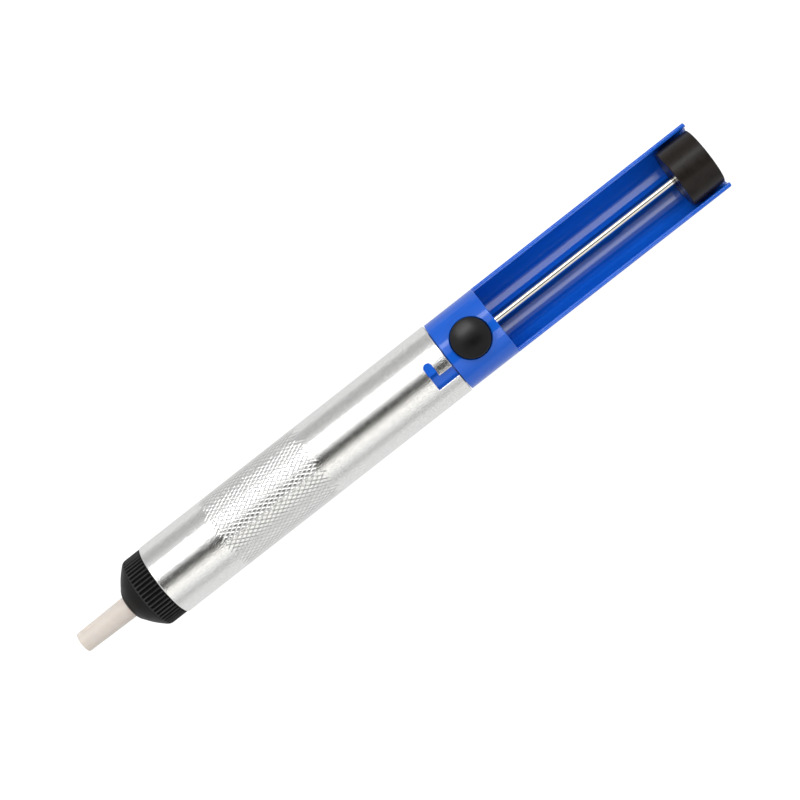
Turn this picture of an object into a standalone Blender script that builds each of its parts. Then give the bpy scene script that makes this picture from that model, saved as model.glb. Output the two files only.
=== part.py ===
"""Spring-loaded desoldering pump, lying on its back with the release button up.

Units are metres, +Z is up. The pump's axis runs along +X from the nozzle tip to the end of the plunger
guard, and the object stands on z = 0. Inside this script every place is given in the pump's own frame:
x from the nozzle tip, y and z from the axis. The empty "pump_axis" carries that frame into the world.
"""

import math

import bmesh
import bpy

MM = 0.001

# ---- Driving dimensions ------------------------------------------------------------------------------
NOZZLE_REACH = 14.95 * MM  # nozzle standing out of the nose cap
CAP_LENGTH = 10.7 * MM  # nose cap outside the barrel
BARREL_LENGTH = 89.35 * MM
COLLAR_LENGTH = 14.8 * MM  # full-round part of the handle, around the button
GUARD_LENGTH = 65.4 * MM  # open channel around the plunger
SEAT_GAP = 0.25 * MM  # between faces that rest on each other
SLIP = 0.1 * MM  # radial gap of a sliding or pressed fit

BARREL_RADIUS = 10.0 * MM
BARREL_WALL = 1.0 * MM
HANDLE_RADIUS = 9.8 * MM
CAP_RADIUS = 9.75 * MM
ROD_RADIUS = 1.0 * MM
KNOB_RADIUS = 7.88 * MM
KNOB_LENGTH = 9.6 * MM
BUTTON_RADIUS = 5.0 * MM

PLUNGER_TRAVEL = 45.0 * MM
BUTTON_TRAVEL = 1.8 * MM
PIN_OVERSHOOT = 1.0 * MM  # the rod's tip beyond the nozzle when the plunger is fully in

# ---- Stations along the axis -------------------------------------------------------------------------
CAP_FRONT = NOZZLE_REACH
CAP_REAR = CAP_FRONT + CAP_LENGTH
BARREL_FRONT = CAP_REAR + SEAT_GAP
BARREL_REAR = BARREL_FRONT + BARREL_LENGTH
COLLAR_FRONT = BARREL_REAR + SEAT_GAP
COLLAR_REAR = COLLAR_FRONT + COLLAR_LENGTH
GUARD_END = COLLAR_REAR + GUARD_LENGTH
BUTTON_X = (COLLAR_FRONT + COLLAR_REAR) / 2
KNOB_REAR = GUARD_END - 0.45 * MM
KNOB_FRONT = KNOB_REAR - KNOB_LENGTH

# ---- Nose --------------------------------------------------------------------------------------------
NOZZLE_BORE = 1.4 * MM
NOZZLE_TIP_RADIUS = 2.75 * MM
NOZZLE_RADIUS = 3.0 * MM
NOZZLE_FLANGE_RADIUS = 4.2 * MM
NOZZLE_FLANGE = 1.5 * MM
NOZZLE_SEAL_BORE = 1.9 * MM
CAP_BORE_GAP = 0.15 * MM  # radial, round the nozzle and its flange
CAP_CHAMBER_RADIUS = 6.5 * MM
CAP_SHOULDER = CAP_FRONT + 4.8 * MM  # inner step that the nozzle's flange rests on
CAP_CHAMBER = CAP_FRONT + 8.95 * MM
CAP_FACE_RADIUS = 2.1 * MM
CAP_NOSE_ROUND = 4.3 * MM
CAP_EDGE_ROUND = 2.0 * MM
CAP_CONE = math.radians(47.9)  # slope of the nose's cone to the axis
RIB_COUNT = 52
RIB_DEPTH = 0.4 * MM
SPIGOT_LENGTH = 7.5 * MM

# ---- Barrel bayonet: angles are from the top, towards -Y ---------------------------------------------
SLOT_FRONT = 109.15 * MM
SLOT_WIDTH = 2.25 * MM
SLOT_END = math.radians(-10.8)  # tip of the round closed end
LEG_START = math.radians(14.7)
LEG_STOP = math.radians(32.6)
LUG_END = math.radians(-9.9)
LUG_START = math.radians(6.5)
LUG_SIDE_GAP = 0.2 * MM
LUG_ROOT = 0.6 * MM  # how deep the lug starts inside the spigot

# ---- Handle ------------------------------------------------------------------------------------------
HANDLE_SPIGOT = 15.75 * MM
SPIGOT_RADIUS = BARREL_RADIUS - BARREL_WALL - SLIP
SPIGOT_BORE = 7.4 * MM
SPIGOT_POCKET_WALL = 2.0 * MM  # solid left ahead of the collar
SPIGOT_FRONT = BARREL_REAR - HANDLE_SPIGOT
COLLAR_CHAMFER = 0.2 * MM
RIM_HEIGHT = 1.5 * MM  # guard rims above the axis
CHANNEL_HALF_WIDTH = 8.65 * MM
CHANNEL_DEPTH = 8.5 * MM
FLOOR_RADIUS = 13.5 * MM
FLOOR_HALF_WIDTH = 3.5 * MM
ROD_HOLE = 1.25 * MM

# ---- Button and latch --------------------------------------------------------------------------------
WELL_RADIUS = 5.2 * MM
WELL_FLOOR = 3.4 * MM  # heights are above the axis
STEM_RADIUS = 3.0 * MM
STEM_FOOT = 4.2 * MM
STEM_HOLE_FLOOR = STEM_FOOT - BUTTON_TRAVEL - 0.2 * MM
BUTTON_UNDERSIDE = 7.6 * MM
BUTTON_SHOULDER = 10.4 * MM
BUTTON_EDGE_ROUND = 0.6 * MM
BUTTON_DOME_RADIUS = 9.0 * MM
PLATE_THICKNESS = 1.0 * MM
PLATE_HALF_WIDTH = 2.6 * MM
PLATE_TOP = 7.0 * MM
PLATE_FOOT = -4.0 * MM
LATCH_POCKET_FLOOR = PLATE_FOOT - BUTTON_TRAVEL - 0.5 * MM
WINDOW_HALF_WIDTH = 1.2 * MM
WINDOW_SILL = -1.15 * MM
WINDOW_TOP = 3.0 * MM

# ---- Plunger -----------------------------------------------------------------------------------------
PISTON_REAR = 95.0 * MM
PISTON_LENGTH = 7.0 * MM
PISTON_RADIUS = 8.75 * MM
PISTON_FRONT = PISTON_REAR - PISTON_LENGTH
CLIP_THICKNESS = 0.5 * MM
CLIP_RADIUS = 2.6 * MM
CLIP_GROOVE = 0.8 * MM
BUMPER_THICKNESS = 1.35 * MM
BUMPER_WASHER = 0.4 * MM
BUMPER_RADIUS = 5.0 * MM
GUIDE_FLANGE = 0.95 * MM
GUIDE_LENGTH = 4.0 * MM
LATCH_NOTCH = 164.0 * MM  # upright wall that the latch plate catches
NOTCH_FLAT = 3.1 * MM
NOTCH_RAMP = 4.3 * MM
NOTCH_DEPTH = 0.85 * MM
RAMP_RUNOUT = 0.05 * MM  # how far the ramp ends below the rod
ROD_FRONT = PLUNGER_TRAVEL - PIN_OVERSHOOT
ROD_REAR = KNOB_REAR - 1.9 * MM

# ---- Springs and rings -------------------------------------------------------------------------------
MAIN_WIRE = 0.45 * MM
MAIN_COIL = 6.4 * MM
MAIN_TURNS = 9
BUTTON_WIRE = 0.22 * MM
BUTTON_COIL = 4.05 * MM
BUTTON_TURNS = 4
SEAT_THICKNESS = 0.6 * MM
SEAT_BORE = 3.0 * MM
RING_SECTION = 0.5 * MM
RING_GROOVE_WIDTH = 1.4 * MM
RING_GROOVE_RADIUS = 7.85 * MM
RING_CENTRE = RING_GROOVE_RADIUS + 0.07 * MM + RING_SECTION

BIG_STEPS = 64
SMALL_STEPS = 36
ROD_STEPS = 20


def clear_scene():
    for obj in list(bpy.data.objects):
        bpy.data.objects.remove(obj)


def material(name, colour, roughness, metallic=0.0):
    made = bpy.data.materials.new(name)
    made.use_nodes = True
    shader = made.node_tree.nodes["Principled BSDF"]
    shader.inputs["Base Color"].default_value = (*colour, 1.0)
    shader.inputs["Roughness"].default_value = roughness
    shader.inputs["Metallic"].default_value = metallic
    return made


def empty(name, parent=None, place=(0, 0, 0)):
    made = bpy.data.objects.new(name, None)
    bpy.context.scene.collection.objects.link(made)
    made.parent = parent
    made.location = place
    return made


def finished(name, mesh, parent, finish=None):
    """The bmesh as a named object. With no finish it is a cutter or a tool, which isn't rendered."""
    bmesh.ops.remove_doubles(mesh, verts=mesh.verts, dist=1e-7)
    bmesh.ops.recalc_face_normals(mesh, faces=mesh.faces)
    data = bpy.data.meshes.new(name)
    mesh.to_mesh(data)
    mesh.free()
    obj = bpy.data.objects.new(name, data)
    bpy.context.scene.collection.objects.link(obj)
    obj.parent = parent
    if finish is None:
        obj.hide_render = True
        obj.display_type = "WIRE"
    else:
        data.materials.append(finish)
        data.shade_smooth()
        data.set_sharp_from_angle(angle=math.radians(30))
    return obj


def boolean(target, tool, operation="DIFFERENCE"):
    modifier = target.modifiers.new(tool.name, "BOOLEAN")
    modifier.object = tool
    modifier.operation = operation


def arc(centre_x, centre_r, radius, start, stop, steps):
    """Points of an arc in the (x, radius) plane, from angle start to angle stop."""
    turn = [start + (stop - start) * i / steps for i in range(steps + 1)]
    return [(centre_x + radius * math.cos(a), centre_r + radius * math.sin(a)) for a in turn]


def turned_mesh(outline, steps, angle=math.tau, start=0.0):
    """An (x, radius) outline turned about the pump's axis. An outline off the axis is a closed loop."""
    mesh = bmesh.new()
    on_axis = outline[0][1] == 0 and outline[-1][1] == 0
    points = [mesh.verts.new((x, -r * math.sin(start), r * math.cos(start))) for x, r in outline]
    pairs = list(zip(points, points[1:]))
    if not on_axis:
        pairs.append((points[-1], points[0]))
    profile = [mesh.edges.new(pair) for pair in pairs]
    whole = math.isclose(angle, math.tau)
    if not whole:
        profile.append(mesh.faces.new(points))
    bmesh.ops.spin(
        mesh,
        geom=points + profile,
        cent=(0, 0, 0),
        axis=(1, 0, 0),
        angle=angle,
        steps=steps,
        use_merge=whole,
    )
    return mesh


def turned(name, outline, parent, finish=None, steps=BIG_STEPS):
    """Turned with a facet, not an edge, along the bottom."""
    return finished(name, turned_mesh(outline, steps, start=math.pi / steps), parent, finish)


def washer(name, front, rear, inner, outer, parent, finish, steps=SMALL_STEPS):
    outline = [(front, inner), (front, outer), (rear, outer), (rear, inner)]
    return turned(name, outline, parent, finish, steps)


def sector(name, front, rear, inner, outer, start, stop, parent, finish=None, steps=8):
    """A slice of a ring, between two angles from the top towards -Y."""
    outline = [(front, inner), (front, outer), (rear, outer), (rear, inner)]
    return finished(name, turned_mesh(outline, steps, stop - start, start), parent, finish)


def wrapped(name, outline, inner, outer, parent, finish=None):
    """A flat (x, angle) outline bent about the pump's axis. Angles are from the top, towards -Y."""
    mesh = bmesh.new()
    rings = []
    for radius in (inner, outer):
        rings.append([mesh.verts.new((x, -radius * math.sin(a), radius * math.cos(a))) for x, a in outline])
        mesh.faces.new(rings[-1])
    count = len(outline)
    for i in range(count):
        after = (i + 1) % count
        mesh.faces.new((rings[0][i], rings[0][after], rings[1][after], rings[1][i]))
    return finished(name, mesh, parent, finish)


def round_end(front, rear, end_angle, radius):
    """(x, angle) points of a half-round end on the +Y side, which just touches end_angle."""
    half = (rear - front) / 2
    turn = [math.pi * i / 10 for i in range(11)]
    centre = end_angle + half / radius
    return [((front + rear) / 2 - half * math.cos(t), centre - half / radius * math.sin(t)) for t in turn]


def turned_up(name, outline, centre_x, parent, finish=None, steps=SMALL_STEPS):
    """A (radius, height) outline that starts and ends on its axis, turned about the upright at centre_x."""
    mesh = bmesh.new()
    points = [mesh.verts.new((centre_x + r, 0, z)) for r, z in outline]
    edges = [mesh.edges.new(pair) for pair in zip(points, points[1:])]
    bmesh.ops.spin(
        mesh,
        geom=points + edges,
        cent=(centre_x, 0, 0),
        axis=(0, 0, 1),
        angle=math.tau,
        steps=steps,
        use_merge=True,
    )
    return finished(name, mesh, parent, finish)


def pole(name, radius, foot, top, centre_x, parent, finish=None, steps=SMALL_STEPS):
    outline = [(0, foot), (radius, foot), (radius, top), (0, top)]
    return turned_up(name, outline, centre_x, parent, finish, steps)


def prism(name, outline, start, stop, along, parent, finish=None):
    """A flat outline extruded along "X" (outline in y, z) or along "Y" (outline in x, z)."""
    mesh = bmesh.new()
    place = {"X": lambda p: (start, p[0], p[1]), "Y": lambda p: (p[0], start, p[1])}[along]
    face = mesh.faces.new([mesh.verts.new(place(p)) for p in outline])
    grown = bmesh.ops.extrude_face_region(mesh, geom=[face])
    moved = [v for v in grown["geom"] if isinstance(v, bmesh.types.BMVert)]
    reach = stop - start
    bmesh.ops.translate(mesh, verts=moved, vec=(reach, 0, 0) if along == "X" else (0, reach, 0))
    return finished(name, mesh, parent, finish)


def block(name, x, y, z, parent, finish=None):
    outline = [(x[0], z[0]), (x[1], z[0]), (x[1], z[1]), (x[0], z[1])]
    return prism(name, outline, y[0], y[1], "Y", parent, finish)


def spring(name, along, start, stop, coil, wire, turns, centre_x, parent, finish):
    """A compression spring with one closed turn at each end, along "X" or up "Z"."""
    per_turn = 14
    closed = 2.3 * wire  # rise of a closed end turn
    open_rise = (stop - start - 2 * wire - 2 * closed) / (turns - 2)
    data = bpy.data.curves.new(name, "CURVE")
    data.dimensions = "3D"
    data.bevel_depth = wire
    data.bevel_resolution = 1
    data.use_fill_caps = True
    line = data.splines.new("POLY")
    line.points.add(turns * per_turn)
    for i, point in enumerate(line.points):
        turn = i / per_turn
        rise = closed * min(turn, 1.0)
        rise += open_rise * min(max(turn - 1, 0.0), turns - 2)
        rise += closed * max(turn - turns + 1, 0.0)
        far = start + wire + rise
        across, up = coil * math.cos(math.tau * turn), coil * math.sin(math.tau * turn)
        place = (far, across, up) if along == "X" else (centre_x + across, up, far)
        point.co = (*place, 1.0)
    obj = bpy.data.objects.new(name, data)
    bpy.context.scene.collection.objects.link(obj)
    obj.parent = parent
    data.materials.append(finish)
    return obj


def seal_ring(name, centre_x, parent, finish):
    section = arc(centre_x, RING_CENTRE, RING_SECTION, 0, math.tau, 8)[:-1]
    return turned(name, section, parent, finish, SMALL_STEPS)


def ring_groove(centre_x, outer):
    """The four corners of a seal's groove in a turned outline, front to rear."""
    half = RING_GROOVE_WIDTH / 2
    return [
        (centre_x - half, outer),
        (centre_x - half, RING_GROOVE_RADIUS),
        (centre_x + half, RING_GROOVE_RADIUS),
        (centre_x + half, outer),
    ]


# ---- Nose group --------------------------------------------------------------------------------------
def make_nozzle(parent, finish, rubber):
    flange_front = CAP_SHOULDER + SEAT_GAP
    flange_rear = flange_front + NOZZLE_FLANGE
    edge = 0.3 * MM
    outline = [
        (0, NOZZLE_BORE),
        (0, NOZZLE_TIP_RADIUS - edge),
        (edge, NOZZLE_TIP_RADIUS),
        (CAP_FRONT, NOZZLE_RADIUS),
        (flange_front, NOZZLE_RADIUS),
        (flange_front, NOZZLE_FLANGE_RADIUS),
        (flange_rear, NOZZLE_FLANGE_RADIUS),
        (flange_rear, NOZZLE_BORE),
    ]
    turned("nozzle", outline, parent, finish, 32)
    seal_front = flange_rear + SEAT_GAP
    seal_rear = CAP_CHAMBER - SEAT_GAP
    washer("nozzle_seal", seal_front, seal_rear, NOZZLE_SEAL_BORE, NOZZLE_FLANGE_RADIUS, parent, rubber)


def nose_outline():
    """Solid outside of the nose cap, before its bore: face, round nose, cone, round edge, ribbed band."""
    face_to_cone = math.pi / 2 + CAP_CONE
    nose = arc(CAP_FRONT + CAP_NOSE_ROUND, CAP_FACE_RADIUS, CAP_NOSE_ROUND, math.pi, face_to_cone, 3)
    cone_x, cone_r = nose[-1]
    edge_r = CAP_RADIUS - CAP_EDGE_ROUND
    edge_start = edge_r + CAP_EDGE_ROUND * math.sin(face_to_cone)
    edge_x = cone_x + (edge_start - cone_r) / math.tan(CAP_CONE) - CAP_EDGE_ROUND * math.cos(face_to_cone)
    edge = arc(edge_x, edge_r, CAP_EDGE_ROUND, face_to_cone, math.pi / 2, 3)
    return [(CAP_FRONT, 0), *nose, *edge, (CAP_REAR, CAP_RADIUS), (CAP_REAR, 0)]


def make_nose_cap(parent, finish):
    mesh = turned_mesh(nose_outline(), 2 * RIB_COUNT)
    root = CAP_RADIUS - RIB_DEPTH
    for vert in mesh.verts:
        radius = math.hypot(vert.co.y, vert.co.z)
        place = round(math.atan2(vert.co.y, vert.co.z) / math.tau * 2 * RIB_COUNT)
        if radius > root and place % 2:
            vert.co.y *= root / radius
            vert.co.z *= root / radius
    cap = finished("nose_cap", mesh, parent, finish)

    spigot_rear = CAP_REAR + SPIGOT_LENGTH
    groove_x = CAP_REAR + SPIGOT_LENGTH / 2
    spigot = [(CAP_CHAMBER, 0), (CAP_CHAMBER, SPIGOT_RADIUS), *ring_groove(groove_x, SPIGOT_RADIUS)]
    spigot += [(spigot_rear, SPIGOT_RADIUS), (spigot_rear, 0)]
    boolean(cap, turned("cap_spigot_tool", spigot, parent, steps=48), "UNION")

    hole = NOZZLE_RADIUS + CAP_BORE_GAP
    counterbore = NOZZLE_FLANGE_RADIUS + CAP_BORE_GAP
    past = 1.0 * MM
    bore = [
        (CAP_FRONT - past, 0),
        (CAP_FRONT - past, hole),
        (CAP_SHOULDER, hole),
        (CAP_SHOULDER, counterbore),
        (CAP_CHAMBER, counterbore),
        (CAP_CHAMBER, CAP_CHAMBER_RADIUS),
        (spigot_rear + past, CAP_CHAMBER_RADIUS),
        (spigot_rear + past, 0),
    ]
    boolean(cap, turned("cap_bore_cutter", bore, parent, steps=SMALL_STEPS))
    return spigot_rear, groove_x


# ---- Barrel ------------------------------------------------------------------------------------------
def make_barrel(parent, finish):
    bore = BARREL_RADIUS - BARREL_WALL
    edge = 0.3 * MM
    outline = [
        (BARREL_FRONT, bore),
        (BARREL_FRONT, BARREL_RADIUS - edge),
        (BARREL_FRONT + edge, BARREL_RADIUS),
        (BARREL_REAR - edge, BARREL_RADIUS),
        (BARREL_REAR, BARREL_RADIUS - edge),
        (BARREL_REAR, bore),
    ]
    barrel = turned("barrel", outline, parent, finish)
    slot_rear = SLOT_FRONT + SLOT_WIDTH
    past = 1.5 * MM
    slot = round_end(SLOT_FRONT, slot_rear, SLOT_END, BARREL_RADIUS)
    slot += [
        (slot_rear, LEG_START),
        (BARREL_REAR + past, LEG_START),
        (BARREL_REAR + past, LEG_STOP),
        (SLOT_FRONT, LEG_STOP),
    ]
    boolean(barrel, wrapped("slot_cutter", slot, bore - past, BARREL_RADIUS + past, parent))


# ---- Handle ------------------------------------------------------------------------------------------
def channel_section():
    """Cross-section (y, z) that clears the guard's channel and everything above its rims."""
    floor_centre = FLOOR_RADIUS - CHANNEL_DEPTH
    slope = math.asin(FLOOR_HALF_WIDTH / FLOOR_RADIUS)
    side_radius = (CHANNEL_HALF_WIDTH - FLOOR_HALF_WIDTH) / (1 - math.sin(slope))
    side_y = CHANNEL_HALF_WIDTH - side_radius
    side_z = floor_centre - (FLOOR_RADIUS - side_radius) * math.cos(slope)
    down = -math.pi / 2
    floor = arc(0, floor_centre, FLOOR_RADIUS, down, down + slope, 3)
    side = arc(side_y, side_z, side_radius, down + slope, 0, 8)[1:]
    right = [*floor, *side, (CHANNEL_HALF_WIDTH, RIM_HEIGHT)]
    clear = HANDLE_RADIUS + 2 * MM
    right += [(clear, RIM_HEIGHT), (clear, clear)]
    left = [(-y, z) for y, z in reversed(right[1:])]
    return right + left


def make_handle(parent, finish):
    pocket_end = COLLAR_FRONT - SPIGOT_POCKET_WALL
    c = COLLAR_CHAMFER
    outline = [
        (pocket_end, 0),
        (pocket_end, SPIGOT_BORE),
        (SPIGOT_FRONT, SPIGOT_BORE),
        (SPIGOT_FRONT, SPIGOT_RADIUS),
        (COLLAR_FRONT, SPIGOT_RADIUS),
        (COLLAR_FRONT, HANDLE_RADIUS - c),
        (COLLAR_FRONT + c, HANDLE_RADIUS),
        (GUARD_END, HANDLE_RADIUS),
        (GUARD_END, 0),
    ]
    handle = turned("handle", outline, parent, finish)
    past = 1.0 * MM
    channel = prism("channel_cutter", channel_section(), COLLAR_REAR, GUARD_END + past, "X", parent)
    boolean(handle, channel)

    lug_front = SLOT_FRONT + LUG_SIDE_GAP
    lug_rear = SLOT_FRONT + SLOT_WIDTH - LUG_SIDE_GAP
    lug = round_end(lug_front, lug_rear, LUG_END, BARREL_RADIUS)
    lug += [(lug_rear, (LUG_END + LUG_START) / 2), (lug_rear, LUG_START)]
    lug += [(lug_front, LUG_START), (lug_front, (LUG_END + LUG_START) / 2)]
    inner, outer = SPIGOT_RADIUS - LUG_ROOT, BARREL_RADIUS - SLIP
    boolean(handle, wrapped("lug_tool", lug, inner, outer, parent), "UNION")

    hole_end = COLLAR_REAR + past
    rod_hole = [(SPIGOT_FRONT, 0), (SPIGOT_FRONT, ROD_HOLE), (hole_end, ROD_HOLE), (hole_end, 0)]
    boolean(handle, turned("rod_hole_cutter", rod_hole, parent, steps=ROD_STEPS))
    well_top = HANDLE_RADIUS + past
    boolean(handle, pole("well_cutter", WELL_RADIUS, WELL_FLOOR, well_top, BUTTON_X, parent, steps=48))
    stem_hole = STEM_RADIUS + 2 * SLIP
    boolean(handle, pole("stem_hole_cutter", stem_hole, STEM_HOLE_FLOOR, well_top, BUTTON_X, parent))
    half = PLATE_THICKNESS / 2 + 3 * SLIP
    side = PLATE_HALF_WIDTH + 3 * SLIP
    pocket = block(
        "latch_pocket_cutter",
        (BUTTON_X - half, BUTTON_X + half),
        (-side, side),
        (LATCH_POCKET_FLOOR, WELL_FLOOR + past),
        parent,
    )
    boolean(handle, pocket)


def make_rod_guide(parent, finish):
    """Plug in the mouth of the handle's spigot, which the rod slides through."""
    flange_rear = SPIGOT_FRONT - SEAT_GAP
    hole = ROD_RADIUS + SLIP
    outline = [
        (flange_rear - GUIDE_FLANGE, hole),
        (flange_rear - GUIDE_FLANGE, SPIGOT_RADIUS - SLIP),
        (flange_rear, SPIGOT_RADIUS - SLIP),
        (flange_rear, SPIGOT_BORE - SLIP),
        (flange_rear + GUIDE_LENGTH, SPIGOT_BORE - SLIP),
        (flange_rear + GUIDE_LENGTH, hole),
    ]
    turned("rod_guide", outline, parent, finish, SMALL_STEPS)


# ---- Release button ----------------------------------------------------------------------------------
def make_button(parent, finish):
    edge_r = BUTTON_RADIUS - BUTTON_EDGE_ROUND
    tilt = math.asin(edge_r / (BUTTON_DOME_RADIUS - BUTTON_EDGE_ROUND))
    dome_z = BUTTON_SHOULDER - (BUTTON_DOME_RADIUS - BUTTON_EDGE_ROUND) * math.cos(tilt)
    edge = arc(edge_r, BUTTON_SHOULDER, BUTTON_EDGE_ROUND, 0, math.pi / 2 - tilt, 3)
    dome = arc(0, dome_z, BUTTON_DOME_RADIUS, math.pi / 2 - tilt, math.pi / 2, 5)[1:-1]
    outline = [
        (0, STEM_FOOT),
        (STEM_RADIUS, STEM_FOOT),
        (STEM_RADIUS, BUTTON_UNDERSIDE),
        (BUTTON_RADIUS, BUTTON_UNDERSIDE),
        *edge,
        *dome,
        (0, dome_z + BUTTON_DOME_RADIUS),
    ]
    button = turned_up("release_button", outline, BUTTON_X, parent, finish)
    half = PLATE_THICKNESS / 2 + 2 * SLIP
    side = PLATE_HALF_WIDTH + SLIP
    slot = block(
        "plate_slot_cutter",
        (BUTTON_X - half, BUTTON_X + half),
        (-side, side),
        (STEM_FOOT - 1 * MM, PLATE_TOP + SEAT_GAP),
        parent,
    )
    boolean(button, slot)


def make_latch_plate(parent, finish):
    half = PLATE_THICKNESS / 2
    span = (BUTTON_X - half, BUTTON_X + half)
    across = (-PLATE_HALF_WIDTH, PLATE_HALF_WIDTH)
    plate = block("latch_plate", span, across, (PLATE_FOOT, PLATE_TOP), parent, finish)
    past = (span[0] - half, span[1] + half)
    window = (-WINDOW_HALF_WIDTH, WINDOW_HALF_WIDTH)
    boolean(plate, block("latch_window_cutter", past, window, (WINDOW_SILL, WINDOW_TOP), parent))


# ---- Plunger -----------------------------------------------------------------------------------------
def clip_groove(front):
    """The four corners of a clip's groove in the rod's outline, front to rear."""
    side = SLIP
    rear = front + CLIP_THICKNESS
    return [
        (front - side, ROD_RADIUS),
        (front - side, CLIP_GROOVE),
        (rear + side, CLIP_GROOVE),
        (rear + side, ROD_RADIUS),
    ]


def make_rod(front_clip, rear_clip, parent, finish):
    point = 0.4 * MM
    outline = [(ROD_FRONT, 0), (ROD_FRONT, ROD_RADIUS - point), (ROD_FRONT + point, ROD_RADIUS)]
    outline += clip_groove(front_clip) + clip_groove(rear_clip)
    outline += [(ROD_REAR, ROD_RADIUS), (ROD_REAR, 0)]
    rod = turned("plunger_rod", outline, parent, finish, ROD_STEPS)
    below = -2 * ROD_RADIUS
    flat = NOTCH_DEPTH - ROD_RADIUS
    notch = [
        (LATCH_NOTCH, below),
        (LATCH_NOTCH, flat),
        (LATCH_NOTCH + NOTCH_FLAT, flat),
        (LATCH_NOTCH + NOTCH_FLAT + NOTCH_RAMP, -ROD_RADIUS - RAMP_RUNOUT),
        (LATCH_NOTCH + NOTCH_FLAT + NOTCH_RAMP, below),
    ]
    side = 2 * ROD_RADIUS
    boolean(rod, prism("notch_cutter", notch, -side, side, "Y", parent))


def make_clip(name, front, parent, finish):
    """A spring clip with its mouth to one side."""
    rear = front + CLIP_THICKNESS
    inner = CLIP_GROOVE + SLIP
    half_mouth = math.radians(35)
    sector(name, front, rear, inner, CLIP_RADIUS, half_mouth, math.tau - half_mouth, parent, finish, steps=18)


def make_piston(parent, finish):
    hole = ROD_RADIUS + SLIP
    groove_x = (PISTON_FRONT + PISTON_REAR) / 2
    outline = [
        (PISTON_FRONT, hole),
        (PISTON_FRONT, PISTON_RADIUS),
        *ring_groove(groove_x, PISTON_RADIUS),
        (PISTON_REAR, PISTON_RADIUS),
        (PISTON_REAR, hole),
    ]
    turned("piston", outline, parent, finish, 40)
    return groove_x


def make_knob(parent, finish):
    edge = 0.35 * MM
    hole = ROD_RADIUS + SLIP
    mouth = 0.6 * MM
    blind_end = ROD_REAR + SEAT_GAP
    outline = [
        (blind_end, 0),
        (blind_end, hole),
        (KNOB_FRONT + mouth, hole),
        (KNOB_FRONT, hole + mouth),
        (KNOB_FRONT, KNOB_RADIUS - edge),
        (KNOB_FRONT + edge, KNOB_RADIUS),
        (KNOB_REAR - edge, KNOB_RADIUS),
        (KNOB_REAR, KNOB_RADIUS - edge),
        (KNOB_REAR, 0),
    ]
    turned("plunger_knob", outline, parent, finish, 48)


def build():
    clear_scene()
    aluminium = material("bare_aluminium", (0.80, 0.80, 0.79), 0.22, 1.0)
    blue = material("blue_abs", (0.03, 0.14, 0.62), 0.28)
    black = material("black_abs", (0.02, 0.02, 0.022), 0.5)
    soft_black = material("button_black", (0.03, 0.028, 0.028), 0.55)
    ptfe = material("ptfe", (0.82, 0.75, 0.70), 0.45)
    rod_steel = material("rod_steel", (0.78, 0.75, 0.71), 0.15, 1.0)
    spring_steel = material("spring_steel", (0.55, 0.55, 0.56), 0.3, 1.0)
    rubber = material("seal_rubber", (0.02, 0.02, 0.02), 0.7)
    acetal = material("white_acetal", (0.75, 0.75, 0.72), 0.4)

    stand_height = BARREL_RADIUS * math.cos(math.pi / BIG_STEPS)
    axis = empty("pump_axis", place=(-GUARD_END / 2, 0, stand_height))
    nose = empty("nose_cap_slide", axis)
    handle = empty("handle_twist_axis", axis)
    plunger = empty("plunger_slide", handle)
    button = empty("button_slide", handle)

    make_nozzle(nose, ptfe, rubber)
    spigot_rear, cap_groove = make_nose_cap(nose, black)
    seal_ring("nose_seal", cap_groove, nose, rubber)
    seat_front = spigot_rear + SEAT_GAP
    seat_rear = seat_front + SEAT_THICKNESS
    washer("spring_seat", seat_front, seat_rear, SEAT_BORE, PISTON_RADIUS, nose, spring_steel)

    make_barrel(axis, aluminium)
    spring_front, spring_rear = seat_rear + SEAT_GAP, PISTON_FRONT - SEAT_GAP
    spring(
        "main_spring", "X", spring_front, spring_rear, MAIN_COIL, MAIN_WIRE, MAIN_TURNS, 0, axis, spring_steel
    )

    make_handle(handle, blue)
    make_rod_guide(handle, black)
    spring_foot, spring_head = WELL_FLOOR + 0.1 * MM, BUTTON_UNDERSIDE - 0.1 * MM
    spring(
        "button_spring",
        "Z",
        spring_foot,
        spring_head,
        BUTTON_COIL,
        BUTTON_WIRE,
        BUTTON_TURNS,
        BUTTON_X,
        handle,
        spring_steel,
    )

    make_button(button, soft_black)
    make_latch_plate(button, spring_steel)

    front_clip = PISTON_FRONT - SEAT_GAP - CLIP_THICKNESS
    rear_clip = PISTON_REAR + SEAT_GAP
    make_rod(front_clip, rear_clip, plunger, rod_steel)
    make_clip("front_clip", front_clip, plunger, spring_steel)
    make_clip("rear_clip", rear_clip, plunger, spring_steel)
    piston_groove = make_piston(plunger, acetal)
    seal_ring("piston_seal", piston_groove, plunger, rubber)
    backing_front = rear_clip + CLIP_THICKNESS + SEAT_GAP
    backing_rear = backing_front + BUMPER_WASHER
    hole = ROD_RADIUS + SLIP
    washer("bumper_washer", backing_front, backing_rear, hole, BUMPER_RADIUS, plunger, spring_steel, 24)
    bumper_front = backing_rear + SEAT_GAP
    bumper_rear = bumper_front + BUMPER_THICKNESS
    washer("bumper", bumper_front, bumper_rear, hole, BUMPER_RADIUS, plunger, rubber, 24)
    make_knob(plunger, black)


build()
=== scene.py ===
"""Looks for the desoldering pump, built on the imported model.

Every piece is modelled in the pump's own frame: x from the nozzle's tip, y and z from the axis, in metres.
Angles round the axis are measured from the top, towards -Y. Each object sits at ORIGIN, so its object
coordinates are that frame too.
"""

import math

import bmesh
import bpy
import numpy as np
from mathutils import Matrix, Vector


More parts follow.
